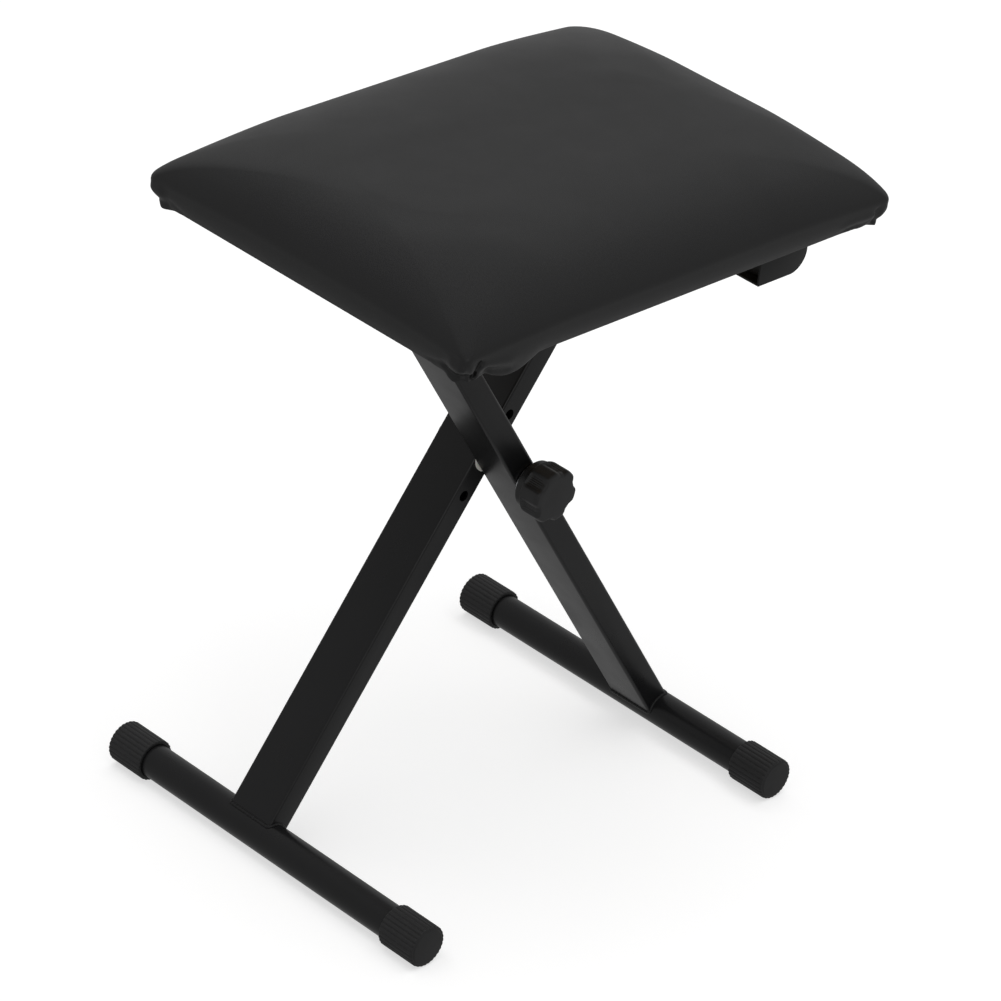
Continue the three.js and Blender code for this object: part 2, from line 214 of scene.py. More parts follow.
def zinc_material():
    """Bright zinc plate with its slight spangle and wear."""
    n = Nodes("zinc_steel")
    n.set(Metallic=1.0)
    spangle = n.noise(300, 4, 0.6)
    tone = n.mix_colours(spangle, (0.5, 0.51, 0.53), (0.68, 0.69, 0.7))
    rough = n.ramp(n.noise(500, 4), 0.3, 0.7, 0.22, 0.42)
    return n.finish(tone, rough, n.bump(spangle, 0.08, 0.00008))


def nylon_material():
    """Natural nylon, slightly waxy."""
    n = Nodes("natural_nylon")
    n.set(IOR=1.53, Subsurface_Weight=0.08, Subsurface_Scale=0.002)
    tone = n.mix_colours(n.noise(90, 3), (0.7, 0.69, 0.63), (0.8, 0.79, 0.74))
    rough = n.ramp(n.noise(200, 3), 0.3, 0.7, 0.4, 0.52)
    return n.finish(tone, rough, n.bump(n.noise(700, 2), 0.12, 0.0001))


def plywood_material():
    """Raw birch plywood: long rings of figure, and fine open grain along the board."""
    n = Nodes("plywood")
    stretch = n.add("ShaderNodeMapping")
    stretch.inputs["Scale"].default_value = (1.2, 14.0, 60.0)
    n.link(n.coords, stretch.inputs["Vector"])
    figure = n.add("ShaderNodeTexWave", Scale=2.2, Distortion=9.0, Detail=3.0, bands_direction="Y")
    n.link(stretch.outputs[0], figure.inputs["Vector"])
    pores = n.noise(160, 5, 0.7, stretch.outputs[0])
    blend = n.add("ShaderNodeMix", data_type="FLOAT")
    blend.inputs[0].default_value = 0.45
    n.link(figure.outputs["Fac"], blend.inputs[2])
    n.link(pores, blend.inputs[3])
    tone = n.mix_colours(blend.outputs[0], (0.42, 0.28, 0.15), (0.56, 0.4, 0.23))
    rough = n.ramp(pores, 0.3, 0.7, 0.6, 0.8)
    return n.finish(tone, rough, n.bump(pores, 0.3, 0.0002))


MATERIALS = {
    "black_vinyl": vinyl_material(),
    "black_powder_coat": powder_coat_material(),
    "black_rubber": rubber_material(),
    "black_plastic": plastic_material(),
    "zinc_steel": zinc_material(),
    "natural_nylon": nylon_material(),
    "plywood": plywood_material(),
}


# ---------------------------------------------------------------- mesh helpers
ON_AXIS = 0.02 * MM


def new_piece(name, mesh, slot, body, replaces=(), smooth_below=None):
    """Makes the object, gives it its finish and lets it ride on a body."""
    mesh.validate()
    mesh.shade_smooth()
    if smooth_below is not None:
        mesh.set_sharp_from_angle(angle=math.radians(smooth_below))
    piece = bpy.data.objects.new(name, mesh)
    bpy.context.scene.collection.objects.link(piece)
    mesh.materials.append(MATERIALS[slot])
    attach(piece, body)
    if replaces:
        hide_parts(*replaces)
    return piece


def mesh_of(name, points, faces):
    """A mesh with its doubled points joined and its faces turned outwards."""
    mesh = bpy.data.meshes.new(name)
    mesh.from_pydata([tuple(p) for p in points], [], faces)
    build = bmesh.new()
    build.from_mesh(mesh)
    bmesh.ops.remove_doubles(build, verts=build.verts, dist=1e-7)
    bmesh.ops.recalc_face_normals(build, faces=build.faces)
    build.to_mesh(mesh)
    build.free()
    return mesh


def circle(centre, radius, steps, first=Vector((1, 0, 0)), second=Vector((0, 0, 1))):
    """Points round a circle in the plane of two directions. Without them it lies across the Y axis."""
    angles = [TAU * i / steps for i in range(steps)]
    return [centre + first * (radius * math.cos(a)) + second * (radius * math.sin(a)) for a in angles]


def bridge(rings, closed_around=False, cap_start=False, cap_end=False):
    """Points and faces of a skin over a row of rings that have the same number of points."""
    count = len(rings[0])
    points = [p for ring in rings for p in ring]
    faces = []
    pairs = list(zip(range(len(rings) - 1), range(1, len(rings))))
    if closed_around:
        pairs.append((len(rings) - 1, 0))
    for a, b in pairs:
        for i in range(count):
            j = (i + 1) % count
            faces.append((a * count + i, a * count + j, b * count + j, b * count + i))
    if cap_start:
        faces.append(tuple(range(count))[::-1])
    if cap_end:
        faces.append(tuple((len(rings) - 1) * count + i for i in range(count)))
    return points, faces


def lathe_y(profile, centre, steps, radius_at=None):
    """Rings about the Y axis through centre. The profile is rows of (radius, y from the centre)."""
    rings = []
    for radius, along in profile:
        ring = []
        for i in range(steps):
            angle = TAU * i / steps
            r = radius if radius_at is None else radius_at(radius, along, angle)
            ring.append(centre + Vector((r * math.cos(angle), along, r * math.sin(angle))))
        rings.append(ring)
    return rings


def round_profile(corners, radius, steps=3):
    """A profile with each corner between its first and last points rounded."""
    out = [corners[0]]
    for before, corner, after in zip(corners, corners[1:], corners[2:]):
        a, b, c = Vector(before), Vector(corner), Vector(after)
        reach = min(radius, (a - b).length / 2, (c - b).length / 2)
        start = b + (a - b).normalized() * reach
        end = b + (c - b).normalized() * reach
        for k in range(steps + 1):
            t = k / steps
            out.append(tuple(start * (1 - t) ** 2 + b * 2 * t * (1 - t) + end * t**2))
    out.append(corners[-1])
    return out


# ---------------------------------------------------------------- legs and bars
LEG_HALF_THICK = 10 * MM
LEG_CORNER = 2.2 * MM
LEG_WALL = 1.5 * MM
BAR_WALL = 1.5 * MM
BAR_EDGE = 0.4 * MM
LEG_COPE = 3.0 * MM  # least depth of a leg's cope at its crossbar
TOUCH = 0.3 * MM  # clearance between parts that the real bench joins
SPARE_HOLE_RADIUS = 4 * MM
SPARE_HOLES = (-32 * MM, 32 * MM)  # along the rear leg from the clamp bolt
HOLE_STEPS = 40
BEAD_THICK = 1.25 * MM
BEAD_RIPPLE = 0.25 * MM
BEAD_SPACING = 0.8 * MM
BEAD_SIDES = 8


def leg_axes(foot, top):
    """A leg's direction, and the direction across its thin side, both in the XZ plane."""
    along = (top - foot).normalized()
    across = Vector((along.z, 0, -along.x))
    return along, across


def leg_outline(half_thick, half_wide, corner, steps=6):
    """A rounded rectangle of (x, y), x across the leg's thin side."""
    outline = []
    for quarter in range(4):
        at_x = (half_thick - corner) * (1 if quarter in (0, 3) else -1)
        at_y = (half_wide - corner) * (1 if quarter < 2 else -1)
        turn = [TAU / 4 * (quarter + i / steps) for i in range(steps + 1)]
        outline += [(at_x + corner * math.cos(a), at_y + corner * math.sin(a)) for a in turn]
    return outline


def saddle(radius, x):
    """How far a round bar's surface stands from its middle at x to the side."""
    return math.sqrt(max(radius**2 - x**2, 0.0))


def leg_tube(name, node, body, foot, top, foot_radius, top_radius, holes):
    """A hollow rectangular tube with rolled corners, coped to the bars it is welded to."""
    along, across = leg_axes(foot, top)
    low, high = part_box(node)
    half_wide = (high.y - low.y) / 2
    centre_y = (high.y + low.y) / 2
    length = (top - foot).length
    place = Vector((foot.x, centre_y, foot.z))

    def ring(outline, end):
        points = []
        for x, y in outline:
            if end == "foot":
                z = saddle(foot_radius + TOUCH, x)
            else:
                z = length - max(saddle(top_radius + TOUCH, x), LEG_COPE)
            points.append(place + across * x + Vector((0, y, 0)) + along * z)
        return points

    outer = leg_outline(LEG_HALF_THICK, half_wide, LEG_CORNER)
    inner = leg_outline(LEG_HALF_THICK - LEG_WALL, half_wide - LEG_WALL, LEG_CORNER - LEG_WALL)
    rings = [ring(outer, "foot"), ring(outer, "top"), ring(inner, "top"), ring(inner, "foot")]
    mesh = mesh_of(name, *bridge(rings, closed_around=True))
    piece = new_piece(name, mesh, "black_powder_coat", body, [node], smooth_below=40)
    for distance, radius in holes:
        cut_hole(piece, PIVOT + along * distance, radius, half_wide * 3, centre_y)
    return piece


def cut_hole(piece, at, radius, length, centre_y):
    """Drills through both faces of a leg along Y."""
    sides = (centre_y - length, centre_y + length)
    ends = [circle(Vector((at.x, y, at.z)), radius, HOLE_STEPS) for y in sides]
    drill_mesh = mesh_of("drill", *bridge(ends, cap_start=True, cap_end=True))
    drill = bpy.data.objects.new("drill", drill_mesh)
    bpy.context.scene.collection.objects.link(drill)
    cut = piece.modifiers.new("hole", "BOOLEAN")
    cut.operation = "DIFFERENCE"
    cut.solver = "EXACT"
    cut.object = drill
    apply_modifiers(piece)
    bpy.data.objects.remove(drill)
    piece.data.set_sharp_from_angle(angle=math.radians(40))


def apply_modifiers(piece):
    """Makes the piece's mesh what its modifiers show, and takes them off."""
    bpy.context.view_layer.update()
    graph = bpy.context.evaluated_depsgraph_get()
    done = bpy.data.meshes.new_from_object(piece.evaluated_get(graph))
    piece.modifiers.clear()
    old = piece.data
    piece.data = done
    bpy.data.meshes.remove(old)


def chamfered_tube(inner, outer, half, edge):
    """The closed profile of a tube along Y, with its four edges broken."""
    return [
        (inner, -half + edge),
        (inner + edge, -half),
        (outer - edge, -half),
        (outer, -half + edge),
        (outer, half - edge),
        (outer - edge, half),
        (inner + edge, half),
        (inner, half - edge),
    ]


def round_tube(name, node, body):
    """A hollow round bar along Y with small broken edges at its ends."""
    low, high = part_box(node)
    centre = (low + high) / 2
    radius = (high.z - low.z) / 2
    half = (high.y - low.y) / 2
    rings = lathe_y(chamfered_tube(radius - BAR_WALL, radius, half, BAR_EDGE), centre, 72)
    mesh = mesh_of(name, *bridge(rings, closed_around=True))
    return new_piece(name, mesh, "black_powder_coat", body, [node], smooth_below=40)


def weld_path(node, foot, top, bar_radius, at_foot):
    """Points close together round a leg's end, where it meets the bar."""
    along, across = leg_axes(foot, top)
    low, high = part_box(node)
    half_wide = (high.y - low.y) / 2
    centre_y = (high.y + low.y) / 2
    base = foot if at_foot else top
    way = along if at_foot else -along
    half_thick = min(LEG_HALF_THICK, bar_radius - 0.4 * MM)
    outline = leg_outline(half_thick, half_wide, LEG_CORNER, steps=8)
    path = []
    for (x, y), (nx, ny) in zip(outline, outline[1:] + outline[:1]):
        pieces = max(1, round(math.hypot(nx - x, ny - y) / BEAD_SPACING))
        for k in range(pieces):
            t = k / pieces
            px, py = x + (nx - x) * t, y + (ny - y) * t
            lift = saddle(bar_radius, px)
            path.append(Vector((base.x, centre_y + py, base.z)) + across * px + way * lift)
    return path


def weld_bead(name, body, path):
    """A painted-over fillet weld along a closed path, with the ripple of its puddles."""
    middle_point = sum(path, Vector()) / len(path)
    rings = []
    for i, point in enumerate(path):
        ahead = (path[(i + 1) % len(path)] - path[i - 1]).normalized()
        outward = (point - middle_point).normalized()
        outward = (outward - ahead * outward.dot(ahead)).normalized()
        ripple = 0.5 + 0.5 * math.sin(i * 1.9)
        thick = BEAD_THICK + BEAD_RIPPLE * (ripple + noise.noise(point * 900))
        rings.append(circle(point, thick, BEAD_SIDES, outward, ahead.cross(outward)))
    mesh = mesh_of(name, *bridge(rings, closed_around=True))
    return new_piece(name, mesh, "black_powder_coat", body)


def build_leg_frame(side, leg_node, bar_node, crossbar_node, body, spare_holes):
    """One leg with its foot bar, its crossbar and the welds between them."""
    bar_low, bar_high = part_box(bar_node)
    cross_low, cross_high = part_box(crossbar_node)
    foot = Vector((middle(bar_node).x, 0, middle(bar_node).z))
    top = Vector((middle(crossbar_node).x, 0, middle(crossbar_node).z))
    foot_radius = (bar_high.z - bar_low.z) / 2
    top_radius = (cross_high.z - cross_low.z) / 2
    sleeve_low, sleeve_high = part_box(leg_node + "_sleeve")
    holes = [(0.0, (sleeve_high.z - sleeve_low.z) / 2 + TOUCH)]
    holes += [(distance, SPARE_HOLE_RADIUS) for distance in spare_holes]
    leg_tube(side + "_leg_tube", leg_node, body, foot, top, foot_radius, top_radius, holes)
    round_tube(side + "_foot_tube", bar_node, body)
    round_tube(side + "_crossbar_tube", crossbar_node, body)
    weld_bead(side + "_foot_weld", body, weld_path(leg_node, foot, top, foot_radius, True))
    weld_bead(side + "_crossbar_weld", body, weld_path(leg_node, foot, top, top_radius, False))


# ---------------------------------------------------------------- feet and caps
CAP_RIBS = 28
GROOVE_DEPTH = 0.65 * MM
GROOVE_SHARPNESS = 0.75
FOOT_CAP_BORE = 12.65 * MM
FOOT_CAP_FLOOR = 4 * MM
CROSSBAR_CAP_BORE = 9.65 * MM
CROSSBAR_CAP_FLOOR = 2.8 * MM


def foot_cap(node, body):
    """A pushed-on rubber cap: ribs along its side, a raised disc on its end and a thick mouth."""
    low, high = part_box(node)
    centre = (low + high) / 2
    outer = (high.z - low.z) / 2
    half = (high.y - low.y) / 2
    out_y = 1 if centre.y > 0 else -1
    disc = outer - 2.6 * MM
    corners = [
        (ON_AXIS, half),
        (disc, half),
        (disc + 0.5 * MM, half - 0.7 * MM),
        (outer - 0.6 * MM, half - 0.7 * MM),
        (outer, half - 1.9 * MM),
        (outer, -half + 0.6 * MM),
        (outer - 0.5 * MM, -half),
        (FOOT_CAP_BORE, -half),
        (FOOT_CAP_BORE, half - FOOT_CAP_FLOOR),
        (ON_AXIS, half - FOOT_CAP_FLOOR),
    ]
    profile = round_profile(corners, 0.5 * MM)

    def radius_at(radius, along, angle):
        if radius < outer - 1.5 * MM:
            return radius
        groove = 1 - abs(math.cos(CAP_RIBS * angle / 2)) ** GROOVE_SHARPNESS
        return radius - GROOVE_DEPTH * groove

    rings = lathe_y([(r, y * out_y) for r, y in profile], centre, CAP_RIBS * 10, radius_at)
    mesh = mesh_of(node + "_mesh", *bridge(rings, cap_start=True, cap_end=True))
    return new_piece(node + "_moulded", mesh, "black_rubber", body, [node], smooth_below=38)


def crossbar_cap(node, body):
    """A plain rubber cap with a rounded end."""
    low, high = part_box(node)
    centre = (low + high) / 2
    outer = (high.z - low.z) / 2
    half = (high.y - low.y) / 2
    out_y = 1 if centre.y > 0 else -1
    corners = [
        (ON_AXIS, half),
        (outer - 2 * MM, half),
        (outer, half - 2 * MM),
        (outer, -half),
        (CROSSBAR_CAP_BORE, -half),
        (CROSSBAR_CAP_BORE, half - CROSSBAR_CAP_FLOOR),
        (ON_AXIS, half - CROSSBAR_CAP_FLOOR),
    ]
    profile = round_profile(corners, 1.2 * MM)
    rings = lathe_y([(r, y * out_y) for r, y in profile], centre, 64)
    mesh = mesh_of(node + "_mesh", *bridge(rings, cap_start=True, cap_end=True))
    return new_piece(node + "_moulded", mesh, "black_rubber", body, [node], smooth_below=50)


# ---------------------------------------------------------------- clamp
KNOB_LOBES = 6
KNOB_TURNED = 0.2  # of a lobe, from the X axis
KNOB_GRIP = 17 * MM  # length of the lobed part
KNOB_HUB = 5.5 * MM  # how far in from the lobes the plain middle of the face ends
KNOB_SKIRT = 2.2 * MM  # how much smaller the skirt's radius is
KNOB_FACE = 3.2 * MM
KNOB_BORE = 8.65 * MM
KNOB_SPACING = 1.2 * MM
HOLLOW_DEPTH = 2.4 * MM
RIDGE_HEIGHT = 0.35 * MM
RIDGES = 13  # to a lobe's width
WASHER_BORE = 5.3 * MM
WASHER_EDGE = 0.3 * MM
BOLT_RADIUS = 5 * MM
BOLT_HEAD_THICK = 3 * MM
BOLT_HEAD_RIM = 0.6 * MM
DOME_ANGLES = [math.radians(a) for a in (0, 15, 30, 45, 60, 75, 87)]
THREAD_LENGTH = 36 * MM
THREAD_PITCH = 1.5 * MM
THREAD_DEPTH = 0.4 * MM
THREAD_RINGS = 8  # to a turn


def smooth_step(value, start, end):
    """0 up to start, 1 from end, and a smooth rise between them."""
    t = min(max((value - start) / (end - start), 0), 1)
    return t * t * (3 - 2 * t)


def knob_profile(outer, hub, front, grip_back, back):
    """Half the knob's section without its hollows, from the middle of its face to the bore's floor."""
    skirt = outer - KNOB_SKIRT
    corners = [
        (hub, front),
        (outer - 1.2 * MM, front + 0.3 * MM),
        (outer, front + 2.6 * MM),
        (outer, grip_back - 0.8 * MM),
        (outer - 1.0 * MM, grip_back),
        (skirt, grip_back + 0.3 * MM),
        (skirt, back - 0.6 * MM),
        (skirt - 0.6 * MM, back),
        (KNOB_BORE + 0.8 * MM, back),
    ]
    bore_floor = front + KNOB_FACE
    profile = [(ON_AXIS, front), *round_profile(corners, 1.6 * MM, steps=5)]
    profile += [(KNOB_BORE, back - 0.8 * MM), (KNOB_BORE, bore_floor), (ON_AXIS, bore_floor)]
    return profile


def divided(profile, spacing):
    """The profile with more points along its long runs."""
    dense = [profile[0]]
    for start, end in zip(profile, profile[1:]):
        pieces = max(1, round(math.dist(start, end) / spacing))
        dense += [tuple(Vector(start).lerp(Vector(end), k / pieces)) for k in range(1, pieces + 1)]
    return dense


def build_knob():
    """A moulded clamp knob: smooth lobes, ribbed hollows between them and a narrower round skirt."""
    low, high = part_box("knob")
    centre = Vector((PIVOT.x, 0, PIVOT.z))
    outer = (high.x - low.x) / 2
    front, back = low.y, high.y
    grip_back = front + KNOB_GRIP
    hub = outer - KNOB_HUB

    def radius_at(radius, along, angle):
        if along > grip_back - 0.5 * MM or radius < hub + 0.5 * MM:
            return radius
        share = smooth_step(radius, hub + 0.5 * MM, outer - 1.5 * MM)
        turn = (angle / TAU * KNOB_LOBES + KNOB_TURNED) % 1
        hollow = 1 - smooth_step(abs(turn - 0.5), 0.08, 0.34)
        behind_face = smooth_step(along, front + 3.0 * MM, front + 5.0 * MM)
        before_back = 1 - smooth_step(along, grip_back - 3.0 * MM, grip_back - 1.5 * MM)
        ridge = RIDGE_HEIGHT * (0.5 + 0.5 * math.cos((turn - 0.5) * TAU * RIDGES)) * behind_face
        return radius - hollow * share * before_back * (HOLLOW_DEPTH - ridge)

    profile = divided(knob_profile(outer, hub, front, grip_back, back), KNOB_SPACING)
    rings = lathe_y(profile, centre, 480, radius_at)
    mesh = mesh_of("knob_mesh", *bridge(rings, cap_start=True, cap_end=True))
    return new_piece("clamp_knob", mesh, "black_plastic", "knob", ["knob"], smooth_below=45)


def washer(node, body, slot):
    """A washer or spacer tube round the clamp bolt."""
    low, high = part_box(node)
    centre = (low + high) / 2
    outer = (high.z - low.z) / 2
    half = (high.y - low.y) / 2
    rings = lathe_y(chamfered_tube(WASHER_BORE, outer, half, WASHER_EDGE), centre, 64)
    mesh = mesh_of(node + "_mesh", *bridge(rings, closed_around=True))
    return new_piece(node + "_turned", mesh, slot, body, [node], smooth_below=50)


def build_bolt():
    """Clamp bolt with a low domed head, and a rolled thread on its front end."""
    low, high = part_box("pivot_bolt")
    centre = Vector((PIVOT.x, 0, PIVOT.z))
    head = (high.z - low.z) / 2
    under = high.y - BOLT_HEAD_THICK
    rim = under + BOLT_HEAD_RIM
    steps = 48

    def cut_to(radius, along, angle):
        return radius - THREAD_DEPTH * (0.5 + 0.5 * math.cos(TAU * along / THREAD_PITCH - angle))

    thread = []
    for k in range(int(THREAD_LENGTH / THREAD_PITCH * THREAD_RINGS)):
        taper = min(1.0, 0.7 + k / 30)
        thread.append(((BOLT_RADIUS - 0.05 * MM) * taper, low.y + k * THREAD_PITCH / THREAD_RINGS))
    plain = [(BOLT_RADIUS, low.y + THREAD_LENGTH), (BOLT_RADIUS, under), (head - 0.3 * MM, under)]
    dome = [(head * math.cos(a), rim + (high.y - rim) * math.sin(a)) for a in DOME_ANGLES]
    rings = lathe_y(thread, centre, steps, cut_to) + lathe_y(plain + dome, centre, steps)
    mesh = mesh_of("pivot_bolt_mesh", *bridge(rings, cap_start=True, cap_end=True))
    return new_piece("clamp_bolt", mesh, "zinc_steel", REAR_BODY, ["pivot_bolt"], smooth_below=35)


# ---------------------------------------------------------------- brackets and screws
SHEET_EDGE = 0.45 * MM
BUSH_EDGE = 0.5 * MM
BOARD_EDGE = 0.6 * MM
SCREW_SHANK = 1.7 * MM
SCREW_THREAD = 0.35 * MM
SCREW_HEAD_THICK = 1.3 * MM
SCREW_TIP = 2.0 * MM
SCREW_STEPS = 48
SCREW_RINGS = 36
RECESS_ARM = 0.45 * MM  # half width of one arm of the cross
RECESS_DEPTH = 0.9 * MM


def refined(node, body, slot, bevel):
    """The CAD piece again, with its flat triangles joined up and its edges rounded."""
    build = bmesh.new()
    build.from_mesh(frame["nodes"][node].data)
    bmesh.ops.remove_doubles(build, verts=build.verts, dist=1e-6)
    bmesh.ops.dissolve_limit(build, angle_limit=math.radians(1.5), verts=build.verts, edges=build.edges)
    sharp = [e for e in build.edges if len(e.link_faces) == 2 and e.calc_face_angle(0) > math.radians(40)]
    bmesh.ops.bevel(
        build,
        geom=sharp,
        offset=bevel,
        offset_type="OFFSET",
        segments=3,
        profile=0.5,
        affect="EDGES",
        clamp_overlap=True,
    )
    bmesh.ops.triangulate(build, faces=[f for f in build.faces if len(f.verts) > 4])
    mesh = bpy.data.meshes.new(node + "_mesh")
    build.to_mesh(mesh)
    build.free()
    return new_piece(node + "_finished", mesh, slot, body, [node], smooth_below=35)


def flat_circle(centre, radius):
    """A level circle, as the screws stand upright."""
    return circle(centre, radius, SCREW_STEPS, second=Vector((0, 1, 0)))


def screw_face_height(share):
    """The low dome of a screw's face, with a broken edge at its rim."""
    if share == 1.0:
        return 0.1 * MM
    if share > 0.9:
        return 0.0
    return -0.12 * MM * (1 - share)


def wood_screw(node, body):
    """A countersunk wood screw with a cross recess. It points up, and its face looks down."""
    low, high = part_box(node)
    centre = Vector(((low.x + high.x) / 2, (low.y + high.y) / 2, low.z))
    radius = (high.x - low.x) / 2
    length = high.z - low.z
    rings = []
    for share in (0.02, 0.3, 0.55, 0.8, 0.97, 1.0):
        ring = flat_circle(Vector(), share * radius)
        face = screw_face_height(share)
        for point in ring:
            near, far = sorted((abs(point.x), abs(point.y)))
            in_recess = near < RECESS_ARM and far < 0.6 * radius
            point.z = RECESS_DEPTH if in_recess else face
        rings.append([centre + point for point in ring])
    for k in range(SCREW_RINGS):
        height = SCREW_HEAD_THICK + k * (length - SCREW_HEAD_THICK - SCREW_TIP) / SCREW_RINGS
        thread = SCREW_SHANK - SCREW_THREAD * (0.5 + 0.5 * math.cos(k * 1.6))
        rings.append(flat_circle(centre + Vector((0, 0, height)), thread))
    rings.append([centre + Vector((0, 0, length))] * SCREW_STEPS)
    mesh = mesh_of(node + "_mesh", *bridge(rings, cap_start=True))
    return new_piece(node + "_cut", mesh, "zinc_steel", body, [node], smooth_below=40)


# ---------------------------------------------------------------- seat
SEAT_LOW, SEAT_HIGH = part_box("seat_pad")
BOARD_LOW, BOARD_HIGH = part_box("seat_board")
SEAT_MIDDLE = (SEAT_LOW + SEAT_HIGH) / 2
HALF_LENGTH = (SEAT_HIGH.x - SEAT_LOW.x) / 2
HALF_DEPTH = (SEAT_HIGH.y - SEAT_LOW.y) / 2

# The pad's section, from its lower edge up to the flat of its top. Each row is the height over the edge,
# then the distance in from the long sides and from the short sides, all in millimetres.
PAD_SECTION = [
    (0.0, 4.4, 3.2),
    (2.5, 3.3, 2.4),
    (6.0, 2.0, 1.4),
    (10.5, 0.9, 0.6),
    (15.5, 0.2, 0.15),
    (20.0, 0.0, 0.0),
    (24.0, 1.3, 0.9),
    (28.0, 4.2, 2.8),
    (31.5, 7.4, 4.9),
    (34.8, 11.2, 7.4),
    (37.8, 15.8, 10.4),
    (40.6, 21.4, 14.1),
    (43.1, 28.0, 18.4),
    (45.3, 36.0, 23.7),
    (47.2, 45.4, 29.9),
    (48.8, 56.2, 37.0),
    (50.0, 68.2, 44.9),
    (50.9, 81.9, 53.8),
    (51.5, 96.6, 63.5),
]
PAD_CORNER = 6.5 * MM
CORNER_GROWTH = 1.0
CORNER_DROP = 11.5 * MM
CORNER_REACH = 110 * MM
PAD_HEIGHT = SEAT_HIGH.z - SEAT_LOW.z
LEAST_CORNER = 1 * MM
UNDER_CORNER = 14 * MM  # the most under the pad
RING_SIDE = 64
RING_CORNER = 22
ENDS_CLOSER = 0.13  # points along a side stand closer together at its ends
FINE_BELOW = 24.0  # of the section's millimetres

# The cover's lower edge is gathered at its corners. Heights are over that edge.
HEM = 20 * MM
GATHER_REACH = 34 * MM
GATHER_HEIGHT = 15 * MM
PLEAT_SPACING = 3.1 * MM
PLEAT_INWARD = 1.2 * MM
PLEAT_DROP = 2.6 * MM
PLEAT_FOLD_DROP = 3.6 * MM
# How much each ring under the pad takes part, from the edge's neighbour inwards.
UNDER_FADE = (1.0, 1.0, 0.8, 0.5, 0.25)
# The share of the creases' depth that every corner has but the one with the lowest x and y.
OTHER_CORNERS = 0.55
# Creases beside each corner: from and to (round the corner, height), half width, depth. A swelling has
# a depth below 0. Round the corner is negative along the short side. All in millimetres.
CREASES = [
    ((-17, 4.5), (9, 3.0), 2.2, 3.0),
    ((13, 11.0), (7, 2.0), 2.0, 3.2),
    ((-13, 10.0), (-2, 8.5), 3.6, -2.4),
    ((-14, -0.5), (4, -1.0), 2.5, -1.6),
    ((16, 7.5), (44, 7.0), 2.6, -1.4),
    ((19, 3.5), (38, 3.0), 1.8, 1.7),
    ((24, 0.5), (36, 0.0), 2.4, -1.2),
    ((-30, 3.0), (-20, 6.5), 1.8, 1.2),
]
# Slack folds of vinyl that hang under the long edges: where, half width and depth.
SAGS = [
    ((-154 * MM, -150 * MM), 25 * MM, 8.5 * MM),
    ((158 * MM, 150 * MM), 22 * MM, 5 * MM),
]
SAG_REACH = 26 * MM  # across the seat

STAPLE_PITCH = 26 * MM
STAPLE_INSET = 16 * MM
STAPLE_CLEAR = 45 * MM  # of the corners
STAPLE_LENGTH = 10 * MM
STAPLE_WIRE = 0.35 * MM  # half of its thickness
# A block's corners, first those of its lower face, and the faces between all eight.
BLOCK_CORNERS = ((-1, -1), (1, -1), (1, 1), (-1, 1))
BLOCK_FACES = ((0, 3, 2, 1), (4, 5, 6, 7), (0, 1, 5, 4), (1, 2, 6, 5), (2, 3, 7, 6), (3, 0, 4, 7))


def seat_ring(inset_y, inset_x, height_at, most_corner=1.0):
    """Points round a rounded rectangle set in from the seat's sides, with the same count in every ring."""
    hx, hy = HALF_LENGTH - inset_x, HALF_DEPTH - inset_y
    corner = PAD_CORNER + CORNER_GROWTH * (inset_x + inset_y) / 2
    corner = max(min(corner, hy - LEAST_CORNER, most_corner), LEAST_CORNER)
    corners = []
    for quarter in range(4):
        sx = 1 if quarter in (0, 3) else -1
        sy = 1 if quarter < 2 else -1
        turn = [TAU / 4 * (quarter + i / RING_CORNER) for i in range(RING_CORNER + 1)]
        at_x, at_y = sx * (hx - corner), sy * (hy - corner)
        corners.append([Vector((at_x + corner * math.cos(a), at_y + corner * math.sin(a), 0)) for a in turn])
    spacing = [i / RING_SIDE - ENDS_CLOSER * math.sin(TAU * i / RING_SIDE) for i in range(1, RING_SIDE)]
    ring = []
    for arc, following in zip(corners, corners[1:] + corners[:1]):
        ring += arc
        ring += [arc[-1].lerp(following[0], share) for share in spacing]
    return [Vector((SEAT_MIDDLE.x + p.x, SEAT_MIDDLE.y + p.y, height_at(p.x, p.y))) for p in ring]


def corner_share(x, y):
    """1 at the seat's corners, falling to 0 along its sides."""
    away = math.hypot(HALF_LENGTH - abs(x), HALF_DEPTH - abs(y))
    return max(0.0, 1 - away / CORNER_REACH) ** 1.5


def finer_section():
    """The section's rows with smooth rows between them, closest where the cover is gathered."""
    rows = [Vector(row) for row in PAD_SECTION]
    ends = [2 * rows[0] - rows[1], *rows, 2 * rows[-1] - rows[-2]]
    finer = []
    for a, b, c, d in zip(ends, ends[1:], ends[2:], ends[3:]):
        steps = 4 if b[0] < FINE_BELOW else 2
        for k in range(steps):
            t = k / steps
            bend = (2 * a - 5 * b + 4 * c - d) * t**2 + (3 * b - a - 3 * c + d) * t**3
            finer.append(b + 0.5 * ((c - a) * t + bend))
    return finer + [rows[-1]]


def pad_ring(height, inset_y, inset_x):
    """One ring of the pad's outside, drawn down towards its corners."""
    rise = height * MM

    def height_at(x, y):
        return SEAT_LOW.z + rise - CORNER_DROP * corner_share(x, y) * rise / PAD_HEIGHT

    return seat_ring(inset_y * MM, inset_x * MM, height_at)


def flat_rings():
    """Rings over the flat middle of the pad's top, from the section's end inwards."""
    height, start_y, start_x = (value * MM for value in PAD_SECTION[-1])
    span = HALF_DEPTH - start_y - 1.2 * MM
    insets = [span * share for share in (0.2, 0.4, 0.6, 0.8, 0.97)]
    return [seat_ring(start_y + inset, start_x + inset, lambda x, y: SEAT_LOW.z + height) for inset in insets]


